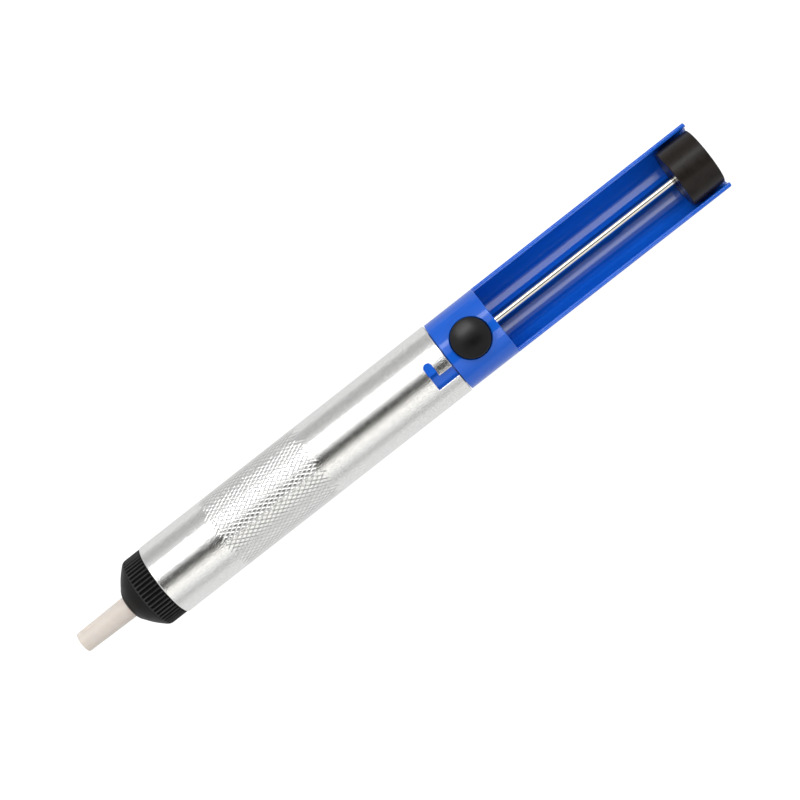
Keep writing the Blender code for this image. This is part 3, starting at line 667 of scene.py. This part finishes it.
def make_barrel():
    verts, faces, front, rear = knurl_lattice()
    around = len(front)
    front_turns, rear_turns = ([math.atan2(-verts[i][1], verts[i][2]) for i in end] for end in (front, rear))

    def ring(x, radius, angles):
        return [(x, -radius * math.sin(a), radius * math.cos(a)) for a in angles]

    def strip(first, rings):
        """Joins rings one after another to the ring of vertices named first."""
        last = first
        for points in rings:
            start = len(verts)
            verts.extend(points)
            new = list(range(start, start + around))
            for i in range(around):
                j = (i + 1) % around
                faces.append((last[i], last[j], new[j], new[i]))
            last = new
        return last

    edge, bore_edge = 0.3 * MM, 0.1 * MM
    outside = [(x, BARREL_RADIUS) for x in np.linspace(KNURL_FRONT, BARREL_FRONT + edge, 6)[1:]]
    outside += arc(BARREL_FRONT + edge, BARREL_RADIUS - edge, edge, 90, 180, 5)[1:]
    outside += [(BARREL_FRONT, BORE_RADIUS + bore_edge), (BARREL_FRONT + bore_edge, BORE_RADIUS)]
    ahead = [ring(x, r, front_turns) for x, r in outside]
    for k in range(KNURL_CROSSINGS + 1):  # the bore's rings turn with the lattice outside them
        x = KNURL_FRONT + k * (KNURL_REAR - KNURL_FRONT) / KNURL_CROSSINGS
        shift = k * math.pi / KNURL_STARTS
        ahead.append(ring(x, BORE_RADIUS, [a + shift for a in front_turns]))
    strip(front, ahead)
    data = bpy.data.meshes.new("barrel_knurl")
    data.from_pydata(verts, [], faces)
    knurl = add_object("barrel_knurl", data)

    profile = [(KNURL_REAR, BORE_RADIUS), (KNURL_REAR, BARREL_RADIUS)]
    profile += [(x, BARREL_RADIUS) for x in np.linspace(KNURL_REAR, BARREL_REAR - 1 * MM, 6)[1:-1]]
    rear_edge = 0.16 * MM
    profile += arc(BARREL_REAR - rear_edge, BARREL_RADIUS - rear_edge, rear_edge, 90, 0, 5)
    profile += [(BARREL_REAR, BORE_RADIUS + bore_edge), (BARREL_REAR - bore_edge, BORE_RADIUS)]
    rings = [ring(x, r, rear_turns) for x, r in profile]
    sleeve = loft("barrel_tube", [*rings, rings[0]], capped=False)
    same_point, same_plane = 1e-8, 1e-7
    mesh = bmesh.new()
    mesh.from_mesh(sleeve.data)
    bmesh.ops.remove_doubles(mesh, verts=mesh.verts, dist=same_point)
    bmesh.ops.recalc_face_normals(mesh, faces=mesh.faces)
    mesh.to_mesh(sleeve.data)
    mesh.free()
    combine(sleeve, slot_cutter())

    # The sleeve and the knurl become one tube at the ring where they meet.
    seam_width, seam_gap = 1e-6, 2e-6
    mesh = bmesh.new()
    mesh.from_mesh(sleeve.data)
    joint = [f for f in mesh.faces if all(abs(v.co.x - KNURL_REAR) < same_plane for v in f.verts)]
    bmesh.ops.delete(mesh, geom=joint, context="FACES")
    mesh.from_mesh(knurl.data)
    near = [v for v in mesh.verts if abs(v.co.x - KNURL_REAR) < seam_width]
    bmesh.ops.remove_doubles(mesh, verts=near, dist=seam_gap)
    bmesh.ops.recalc_face_normals(mesh, faces=mesh.faces)
    mesh.to_mesh(sleeve.data)
    mesh.free()
    bpy.data.objects.remove(knurl)
    settle_normals(sleeve, [("X", 0, BARREL_RADIUS), ("X", 0, BORE_RADIUS)], sharp=40)
    dress(sleeve, "barrel", ALUMINIUM, "barrel_aluminium", "barrel")


# ---- Handle ------------------------------------------------------------------------------------------
def channel_section():
    """Cross-section of everything above the guard's inside and its rims, which it leaves rounded."""
    centre = FLOOR_RADIUS - CHANNEL_DEPTH
    slope = math.asin(FLOOR_HALF_WIDTH / FLOOR_RADIUS)
    side_radius = (CHANNEL_HALF_WIDTH - FLOOR_HALF_WIDTH) / (1 - math.sin(slope))
    side_y = CHANNEL_HALF_WIDTH - side_radius
    side_z = centre - (FLOOR_RADIUS - side_radius) * math.cos(slope)
    tilt = math.degrees(slope)
    floor = arc(0, centre, FLOOR_RADIUS, -90, -90 + tilt, 6)
    side = arc(side_y, side_z, side_radius, -90 + tilt, 0, 24)[1:]
    edge, drop = 0.22 * MM, 0.11 * MM
    inner, level = CHANNEL_HALF_WIDTH + edge, RIM_HEIGHT - edge - drop
    outer = math.sqrt((HANDLE_RADIUS - edge) ** 2 - level**2)
    half = (outer - inner) / 2
    crown = 2 * math.atan(drop / half)
    crown_radius = half / math.sin(crown) + edge
    ease = math.degrees(crown)
    rim = arc(inner, level, edge, 180, 90 + ease, 4)
    rim += arc(inner + half, RIM_HEIGHT - crown_radius, crown_radius, 90 + ease, 90 - ease, 8)[1:-1]
    rim += arc(outer, level, edge, 90 - ease, math.degrees(math.atan2(level, outer)), 4)
    clear = HANDLE_RADIUS + 3 * MM
    right = [*floor, *side, *rim, (clear, rim[-1][1]), (clear, clear)]
    left = [(-y, z) for y, z in reversed(right[1:])]
    return right + left


def edge_ring(name, x, radius, size, start, stop):
    """A cutter that leaves a rounded edge of that size on a cylinder's rear end, between two angles."""
    past = 0.5 * MM
    curve = arc(0, 0, size, 90, 0, 6)
    section = [(x - (size - dx), radius - size + dr) for dx, dr in curve]
    section += [(x + past, radius - size), (x + past, radius + past), (x - size, radius + past)]
    turns = np.radians(np.linspace(start, stop, 97))
    rings = [[(px, -pr * math.sin(a), pr * math.cos(a)) for px, pr in section] for a in turns]
    return loft(name, rings)


def well_cutter(radius, floor, edge):
    """The button's well, with a broken edge that follows the collar's curve."""
    steps = 128
    top, over = HANDLE_RADIUS + 1 * MM, 0.002 * MM
    turns = [math.tau * i / steps for i in range(steps)]

    def ring(r, height):
        made = []
        for a in turns:
            y = r * math.sin(a)
            surface = math.sqrt(HANDLE_RADIUS**2 - y**2)
            made.append((BUTTON_X + r * math.cos(a), y, height(surface)))
        return made

    rings = [
        ring(radius, lambda s: floor),
        ring(radius, lambda s: s - edge),
        ring(radius + 0.4 * edge, lambda s: s - 0.4 * edge),
        ring(radius + edge, lambda s: s + over),
        ring(radius + edge, lambda s: top),
    ]
    return loft("well_cutter", rings)


def lug_tool():
    """The bayonet lug. Its top flares about 0.1 mm past the slot's walls."""
    gap, root = 0.2 * MM, 0.6 * MM
    front, rear = SLOT_FRONT + gap, SLOT_FRONT + SLOT_WIDTH - gap
    steps = np.linspace(LUG_END / 3, LUG_START, 6)
    tail = [(rear, a) for a in steps] + [(front, a) for a in steps[::-1]]
    flat = rounded_slot(front, rear, LUG_END, BARREL_RADIUS, tail)
    top, flare = BARREL_RADIUS - 0.12 * MM, 0.3 * MM
    rings = [bent(flat, SPIGOT_RADIUS - root, BARREL_RADIUS)]
    for turn in np.radians(np.linspace(0, 90, 6)):
        wide = grown(flat, flare * (1 - math.cos(turn)))
        rings.append(bent(wide, top - flare * (1 - math.sin(turn)), BARREL_RADIUS))
    return loft("lug_tool", rings)


def make_handle():
    pocket_end, pocket = COLLAR_FRONT - 2.0 * MM, 7.4 * MM
    spigot_edge, front_edge, rear_edge, tail_edge = 0.4 * MM, 0.16 * MM, 0.25 * MM, 0.3 * MM
    relief, relief_depth = 0.3 * MM, 1.2 * MM
    outline = [
        (pocket_end, 0),
        (pocket_end, pocket),
        (HANDLE_FRONT, pocket),
        *arc(HANDLE_FRONT + spigot_edge, SPIGOT_RADIUS - spigot_edge, spigot_edge, 180, 90, 4),
        (COLLAR_FRONT - relief, SPIGOT_RADIUS),
        (COLLAR_FRONT - relief, SPIGOT_RADIUS - relief_depth),
        (COLLAR_FRONT, SPIGOT_RADIUS - relief_depth),
        *arc(COLLAR_FRONT + front_edge, HANDLE_RADIUS - front_edge, front_edge, 180, 90, 5),
        *arc(GUARD_END - tail_edge, HANDLE_RADIUS - tail_edge, tail_edge, 90, 0, 5),
        (GUARD_END, 0),
    ]
    handle = lathe("handle_moulding", outline, 256)
    past = 1 * MM
    combine(handle, prism("channel_cutter", channel_section(), COLLAR_REAR, GUARD_END + past))
    above_rims = 0.4  # degrees
    side = 90 - math.degrees(math.asin(RIM_HEIGHT / HANDLE_RADIUS)) - above_rims
    combine(handle, edge_ring("edge_cutter", COLLAR_REAR, HANDLE_RADIUS, rear_edge, -side, side))
    combine(handle, lug_tool(), "UNION")

    rod_hole, flare, mouth, through = 1.25 * MM, 0.25 * MM, COLLAR_REAR - 0.15 * MM, COLLAR_REAR + 0.1 * MM
    outline = [(HANDLE_FRONT, 0), (HANDLE_FRONT, rod_hole), (mouth, rod_hole)]
    outline += [(through, rod_hole + flare), (through, 0)]
    combine(handle, lathe("rod_hole_cutter", outline, 48))

    well_floor, well_edge = 3.4 * MM, 0.2 * MM
    combine(handle, well_cutter(WELL_RADIUS, well_floor, well_edge))
    stem_hole, stem_low, stem_high = 3.2 * MM, 2.2 * MM, 6 * MM
    stem = [(stem_low, 0), (stem_low, stem_hole), (stem_high, stem_hole), (stem_high, 0)]
    combine(handle, lathe("stem_hole_cutter", stem, 64, upright=BUTTON_X))
    half_along, half_across, plate_low, plate_high = 0.8 * MM, 2.9 * MM, -6.3 * MM, 4 * MM
    pocket_low = (BUTTON_X - half_along, -half_across, plate_low)
    pocket_high = (BUTTON_X + half_along, half_across, plate_high)
    combine(handle, block("pocket_cutter", pocket_low, pocket_high))
    rounds = [("X", 0, radius) for radius in (HANDLE_RADIUS, SPIGOT_RADIUS, pocket)]
    settle_normals(handle, [*rounds, ("Z", BUTTON_X, WELL_RADIUS)])
    return dress(handle, "handle", BLUE, "blue_plastic", "handle")


# ---- Button ------------------------------------------------------------------------------------------
def make_button():
    shoulder, round_edge, dome = 10.4 * MM, 0.6 * MM, 9.0 * MM
    stem, foot, underside, skirt_edge = 3.0 * MM, 4.2 * MM, 7.6 * MM, 0.2 * MM
    edge_r = BUTTON_RADIUS - round_edge
    tilt = math.degrees(math.asin(edge_r / (dome - round_edge)))
    centre = shoulder - (dome - round_edge) * math.cos(math.radians(tilt))
    rim = arc(edge_r, shoulder, round_edge, 0, 90 - tilt, 8)
    crown = arc(0, centre, dome, 90 - tilt, 90, 24)[1:-1]
    skirt = arc(BUTTON_RADIUS - skirt_edge, underside + skirt_edge, skirt_edge, -90, 0, 3)
    outline = [(foot, 0), (foot, stem), (underside, stem)]
    outline += [(z, r) for r, z in [*skirt, *rim, *crown]]
    outline += [(centre + dome, 0)]
    button = lathe("button_cap", outline, 128, upright=BUTTON_X)
    half_along, half_across, past, slot_top = 0.7 * MM, 2.7 * MM, 1 * MM, 7.25 * MM
    slot_low = (BUTTON_X - half_along, -half_across, foot - past)
    slot_high = (BUTTON_X + half_along, half_across, slot_top)
    combine(button, block("plate_slot_cutter", slot_low, slot_high))
    button.data.shade_smooth()
    button.data.set_sharp_from_angle(angle=math.radians(35))
    return dress(button, "button", BUTTON_BLACK, "button_plastic", "release_button")


# ---- Plunger -----------------------------------------------------------------------------------------
def make_knob():
    edge, hole, mouth = 0.35 * MM, 1.1 * MM, 0.6 * MM
    blind_end = ROD_REAR + 0.25 * MM
    outline = [(blind_end, 0), (blind_end, hole), (KNOB_FRONT + mouth, hole)]
    outline += [(KNOB_FRONT, hole + mouth)]
    outline += arc(KNOB_FRONT + edge, KNOB_RADIUS - edge, edge, 180, 90, 6)
    outline += arc(KNOB_REAR - edge, KNOB_RADIUS - edge, edge, 90, 0, 6)
    outline += [(KNOB_REAR, 0)]
    dress(lathe("knob_disc", outline, 160), "plunger", BLACK, "black_plastic", "plunger_knob")


def make_rod():
    tip, groove, side = 0.4 * MM, 0.8 * MM, 0.1 * MM
    outline = [(ROD_FRONT, 0), *arc(ROD_FRONT + tip, ROD_RADIUS - tip, tip, 180, 90, 4)]
    for node in ("front_clip", "rear_clip"):
        start, stop = reach(node)
        outline += [(start - side, ROD_RADIUS), (start - side, groove), (stop + side, groove)]
        outline += [(stop + side, ROD_RADIUS)]
    outline += [(ROD_REAR, ROD_RADIUS), (ROD_REAR, 0)]
    rod = lathe("rod_wire", outline, 48)
    wall, flat_end, ramp_end = 164.0 * MM, 167.1 * MM, 171.4 * MM
    depth, ramp_foot, clear = -0.15 * MM, -1.05 * MM, 2 * MM
    cut = [(wall, -clear), (wall, depth), (flat_end, depth), (ramp_end, ramp_foot), (ramp_end, -clear)]
    rings = [[(x, y, z) for x, z in cut] for y in (-clear, clear)]
    combine(rod, loft("notch_cutter", rings))
    settle_normals(rod, [("X", 0, ROD_RADIUS)])
    dress(rod, "plunger", ROD_STEEL, "rod_steel", "plunger_rod")


# ---- Springs -----------------------------------------------------------------------------------------
def coil(name, place, turns, radius, wire, length, closed):
    """A compression spring of round wire, whose first and last turns rise only by closed. Place turns
    (along, across, up) into a point."""
    per_turn, sides = 40, 12
    count = turns * per_turn
    turn = np.arange(count + 1) / per_turn
    open_rise = (length - 2 * wire - 2 * closed) / (turns - 2)
    rise = closed * np.minimum(turn, 1) + open_rise * np.clip(turn - 1, 0, turns - 2)
    rise += closed * np.maximum(turn - turns + 1, 0) + wire
    rings = []
    for t, along in zip(turn, rise):
        a = math.tau * t
        ring = []
        for k in range(sides):
            b = math.tau * k / sides
            r = radius + wire * math.cos(b)
            ring.append(place(along + wire * math.sin(b), r * math.cos(a), r * math.sin(a)))
        rings.append(ring)
    return loft(name, rings, sharp=60)


def make_springs():
    front, rear = reach("main_spring")

    def along_pump(along, across, up):
        return (front + along, across, up)

    radius, wire, closed = 6.4 * MM, 0.45 * MM, 1.05 * MM
    main = coil("barrel_coil", along_pump, 9, radius, wire, rear - front, closed)
    dress(main, "barrel", SPRING_STEEL, "spring_steel", "main_spring")
    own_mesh(main)

    low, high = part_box("button_spring")
    foot, height = low[2] - ORIGIN.z, high[2] - low[2]

    def upright(along, across, up):
        return (BUTTON_X + across, up, foot + along)

    radius, wire, closed = 4.05 * MM, 0.22 * MM, 0.5 * MM
    small = coil("button_coil", upright, 4, radius, wire, height, closed)
    dress(small, "handle", SPRING_STEEL, "spring_steel", "button_spring")
    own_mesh(small)


def finish_inner_parts():
    """CAD nodes that are kept as they are get the detailed materials."""
    finishes = {
        RUBBER: ("nozzle_seal", "nose_seal", "piston_seal", "bumper"),
        SPRING_STEEL: ("spring_seat", "front_clip", "rear_clip", "bumper_washer", "latch_plate"),
        ACETAL: ("piston",),
        BLACK: ("rod_guide",),
    }
    for material, nodes in finishes.items():
        for node in nodes:
            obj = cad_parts[node]
            for place in obj.material_slots:
                place.material = material


# ---- Studio ------------------------------------------------------------------------------------------
def make_floor():
    """Pale paper. Seen in the pump's gloss it is greyer than it looks, as a lit table is from low down."""
    side, drop = 1.5, 0.0002
    paper_glow, reflected_glow = 0.9, 0.79
    mesh = bpy.data.meshes.new("floor")
    corners = [(-side, -side, 0), (side, -side, 0), (side, side, 0), (-side, side, 0)]
    mesh.from_pydata(corners, [], [(0, 1, 2, 3)])
    floor = bpy.data.objects.new("floor", mesh)
    bpy.context.scene.collection.objects.link(floor)
    floor.location = (0, 0, -drop)
    made = bpy.data.materials.new("floor_paper")
    made.use_nodes = True
    tree = made.node_tree
    shader = tree.nodes["Principled BSDF"]
    shader.inputs["Base Color"].default_value = (0.30, 0.30, 0.30, 1)
    shader.inputs["Roughness"].default_value = 0.9
    shader.inputs["Specular IOR Level"].default_value = 0.0
    shader.inputs["Emission Color"].default_value = (1, 1, 1, 1)
    shader.inputs["Emission Strength"].default_value = paper_glow
    glow = tree.nodes.new("ShaderNodeEmission")
    glow.inputs["Strength"].default_value = reflected_glow
    path = tree.nodes.new("ShaderNodeLightPath")
    mix = tree.nodes.new("ShaderNodeMixShader")
    tree.links.new(path.outputs["Is Camera Ray"], mix.inputs["Fac"])
    tree.links.new(glow.outputs[0], mix.inputs[1])
    tree.links.new(shader.outputs[0], mix.inputs[2])
    tree.links.new(mix.outputs[0], tree.nodes["Material Output"].inputs["Surface"])
    mesh.materials.append(made)


NEUTRAL, WARM = (1.0, 1.0, 1.0), (1.0, 0.985, 0.95)
TENT_STRENGTH = 5.3
SKY = (  # degrees from straight up, towards -Y, with the brightness and hue of the light tent there
    (-90, 0.43, NEUTRAL),
    (-84, 0.47, NEUTRAL),
    (-68, 0.56, NEUTRAL),
    (-58, 0.74, NEUTRAL),
    (-43.5, 1.05, NEUTRAL),
    (-38, 5.3, NEUTRAL),
    (-30, 5.3, NEUTRAL),
    (-24, 1.6, NEUTRAL),
    (-6, 1.15, NEUTRAL),
    (-3.5, 0.085, WARM),
    (25.5, 0.115, WARM),
    (28.5, 1.12, WARM),
    (45, 1.10, WARM),
    (60, 0.92, NEUTRAL),
    (72, 0.68, NEUTRAL),
    (84, 0.51, NEUTRAL),
    (90, 0.49, NEUTRAL),
    (180, 0.72, NEUTRAL),
)
TENT_ENDS = 1.0  # brightness beyond the pump's two ends
ENDS_START, ENDS_STOP = 0.42, 0.56  # how far towards an end a direction points where that takes over
SEEN_WHITE = 0.95  # brightness that the camera sees behind the pump


def make_sky():
    """A light tent round the pump, with the dark gap that the camera looks through."""
    world = bpy.data.worlds.new("light_tent")
    bpy.context.scene.world = world
    world.use_nodes = True
    tree = world.node_tree
    links, new = tree.links, tree.nodes.new
    coordinates = new("ShaderNodeTexCoord")
    split = new("ShaderNodeSeparateXYZ")
    links.new(coordinates.outputs["Generated"], split.inputs["Vector"])
    side = new("ShaderNodeMath")
    side.operation = "MULTIPLY"
    side.inputs[1].default_value = -1.0
    links.new(split.outputs["Y"], side.inputs[0])
    angle = new("ShaderNodeMath")
    angle.operation = "ARCTAN2"
    links.new(side.outputs[0], angle.inputs[0])
    links.new(split.outputs["Z"], angle.inputs[1])
    share = new("ShaderNodeMapRange")
    share.inputs["From Min"].default_value = -math.pi
    share.inputs["From Max"].default_value = math.pi
    links.new(angle.outputs[0], share.inputs["Value"])
    ramp = new("ShaderNodeValToRGB")
    elements = ramp.color_ramp.elements
    while len(elements) < len(SKY):
        elements.new(0.5)
    for element, (degrees, value, hue) in zip(elements, SKY):
        element.position = (degrees + 180) / 360
        element.color = (*[value / TENT_STRENGTH * c for c in hue], 1)
    links.new(share.outputs[0], ramp.inputs["Fac"])
    background = tree.nodes["Background"]
    background.inputs["Strength"].default_value = TENT_STRENGTH
    ends = new("ShaderNodeMath")
    ends.operation = "ABSOLUTE"
    links.new(split.outputs["X"], ends.inputs[0])
    beyond = new("ShaderNodeMapRange")
    beyond.inputs["From Min"].default_value = ENDS_START
    beyond.inputs["From Max"].default_value = ENDS_STOP
    links.new(ends.outputs[0], beyond.inputs["Value"])
    blend = new("ShaderNodeMix")
    blend.data_type = "RGBA"
    end_value = TENT_ENDS / TENT_STRENGTH
    blend.inputs["B"].default_value = (end_value, end_value, end_value, 1)
    links.new(beyond.outputs[0], blend.inputs["Factor"])
    links.new(ramp.outputs["Color"], blend.inputs["A"])
    links.new(blend.outputs["Result"], background.inputs["Color"])
    seen = new("ShaderNodeBackground")
    seen.inputs["Color"].default_value = (1, 1, 1, 1)
    seen.inputs["Strength"].default_value = SEEN_WHITE
    path = new("ShaderNodeLightPath")
    mix = new("ShaderNodeMixShader")
    links.new(path.outputs["Is Camera Ray"], mix.inputs["Fac"])
    links.new(background.outputs[0], mix.inputs[1])
    links.new(seen.outputs[0], mix.inputs[2])
    links.new(mix.outputs[0], tree.nodes["World Output"].inputs["Surface"])


def make_linked_light(name, piece, tilt, away, along, size, radiance):
    """A soft box that lights one piece only, tilted from overhead towards -Y by so many degrees."""
    tilt = math.radians(tilt)
    data = bpy.data.lights.new(name, "AREA")
    data.shape = "RECTANGLE"
    data.size, data.size_y = size
    data.energy = radiance * data.size * data.size_y * math.pi
    light = bpy.data.objects.new(name, data)
    bpy.context.scene.collection.objects.link(light)
    light.location = (along, -away * math.sin(tilt), ORIGIN.z + away * math.cos(tilt))
    light.rotation_euler = (tilt, 0, 0)
    light.visible_camera = False
    lit = bpy.data.collections.new("lit_by_" + name)
    lit.objects.link(piece)
    light.light_linking.receiver_collection = lit


def make_flag():
    """A black card lying behind the pump, unseen by the camera, that draws a thin dark line in the tube."""
    near, far, left, right = 0.112, 0.195, -0.35, 0.03
    mesh = bpy.data.meshes.new("flag")
    corners = [(left, near, 0), (right, near, 0), (right, far, 0), (left, far, 0)]
    mesh.from_pydata(corners, [], [(0, 1, 2, 3)])
    flag = bpy.data.objects.new("flag", mesh)
    bpy.context.scene.collection.objects.link(flag)
    flag.visible_camera = False
    flag.visible_shadow = False
    flag.visible_diffuse = False
    made = bpy.data.materials.new("flag_black")
    made.use_nodes = True
    shader = made.node_tree.nodes["Principled BSDF"]
    shader.inputs["Base Color"].default_value = (0.01, 0.01, 0.01, 1)
    shader.inputs["Specular IOR Level"].default_value = 0.0
    mesh.materials.append(made)


def make_camera():
    data = bpy.data.cameras.new("camera")
    data.lens = 97.835
    data.sensor_width = 36.0
    data.clip_start, data.clip_end = 0.01, 10.0
    camera = bpy.data.objects.new("camera", data)
    bpy.context.scene.collection.objects.link(camera)
    place = Vector((0.0324, -0.0161, ORIGIN.z + 0.535))
    target = Vector((0.0018, -0.0010, ORIGIN.z))
    picture_up = Vector((0.6162, 0.7876, 0))
    back = (place - target).normalized()
    right = picture_up.cross(back).normalized()
    up = back.cross(right)
    turn = Matrix((right, up, back)).transposed()
    camera.matrix_world = Matrix.Translation(place) @ turn.to_4x4()
    bpy.context.scene.camera = camera


def set_view():
    scene = bpy.context.scene
    scene.view_settings.view_transform = "Standard"
    scene.view_settings.look = "None"


make_nozzle()
make_nose_cap()
make_barrel()
handle_moulding = make_handle()
button_cap = make_button()
make_knob()
make_rod()
make_springs()
finish_inner_parts()
make_floor()
make_sky()
make_linked_light(
    "strip_light", handle_moulding, tilt=37.5, away=0.584, along=0.0865, size=(0.114, 0.26), radiance=3.0
)
above_button = ORIGIN.x + BUTTON_X
make_linked_light(
    "button_light", button_cap, tilt=-42.0, away=0.55, along=above_button, size=(0.45, 0.34), radiance=4.4
)
make_flag()
make_camera()
set_view()
